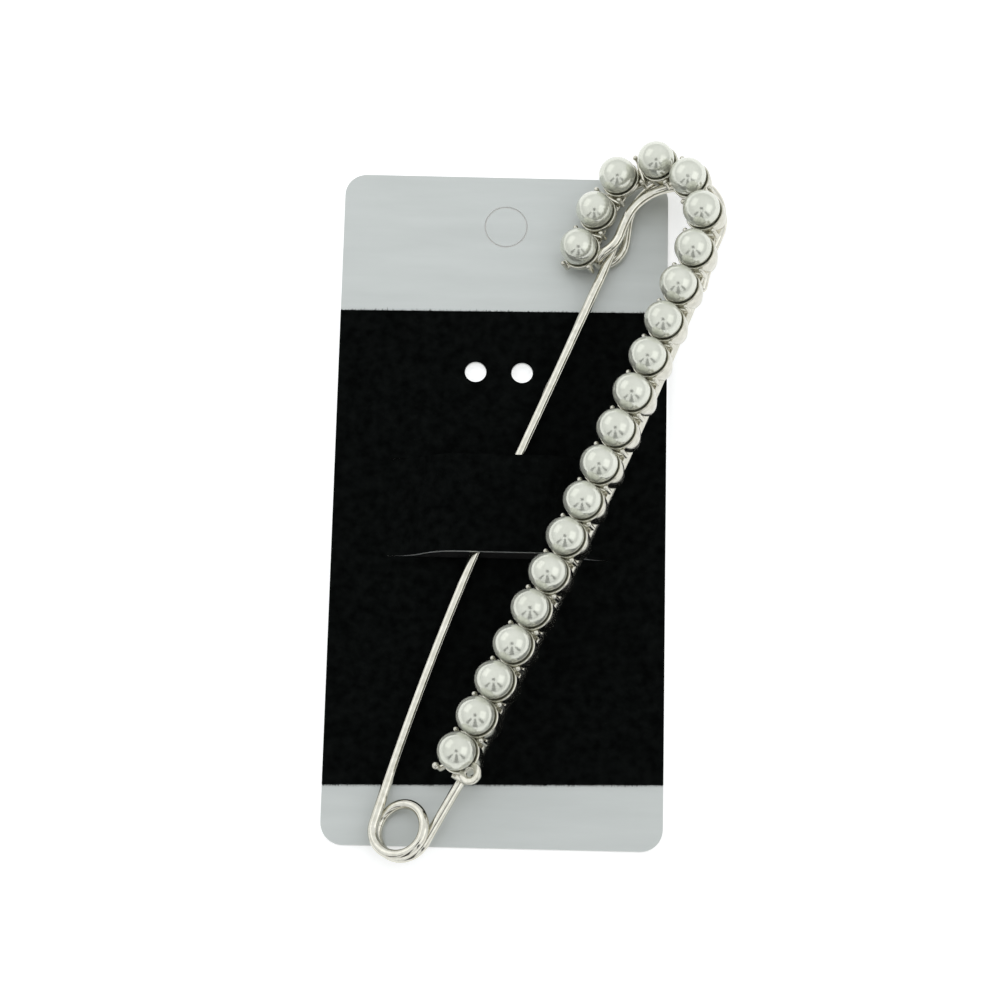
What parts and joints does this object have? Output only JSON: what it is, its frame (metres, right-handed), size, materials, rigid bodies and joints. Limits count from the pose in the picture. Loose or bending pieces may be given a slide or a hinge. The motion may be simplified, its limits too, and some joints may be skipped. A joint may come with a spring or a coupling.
{
  "type": "safety pin brooch on a display card",
  "caption": "Oversized safety pin brooch with a row of pearls along its spine and round its crook, pinned under the strap of a velvet-faced display card",
  "frame": {"origin": "on the card's back, on its centre line, level with the two earring holes", "axes": "+Y to the card's top edge, +Z out of the velvet side, +X to the card's right seen from the front"},
  "size_m": [0.062, 0.1172, 0.0165],
  "materials": {
    "silver_board": "card faced with satin silver foil, white paper back",
    "velvet": "flocked black velvet",
    "plated_metal": "polished rhodium-tone plating",
    "pearl": "imitation pearl, ivory lustre"
  },
  "bodies": {
    "base": {"card": "silver_board", "velvet_panel": "velvet", "pin_frame": "plated_metal", "pearl_01": "pearl", "pearl_02": "pearl", "pearl_03": "pearl", "pearl_04": "pearl", "pearl_05": "pearl", "pearl_06": "pearl", "pearl_07": "pearl", "pearl_08": "pearl", "pearl_09": "pearl", "pearl_10": "pearl", "pearl_11": "pearl", "pearl_12": "pearl", "pearl_13": "pearl", "pearl_14": "pearl", "pearl_15": "pearl", "pearl_16": "pearl", "pearl_17": "pearl", "pearl_18": "pearl", "pearl_19": "pearl", "pearl_20": "pearl", "pearl_21": "pearl"},
    "arm": {"pin_arm": "plated_metal"}
  },
  "joints": [
    {"name": "spring_coil", "type": "hinge", "parent": "base", "child": "arm", "pos_m": [-0.01344, -0.075, 0.00243], "axis": [-0.3942, 0.1404, 0.9082], "range_deg": [-1, 0], "stiffness_Nm_per_rad": 0.3, "springref_deg": 14.9}
  ]
}
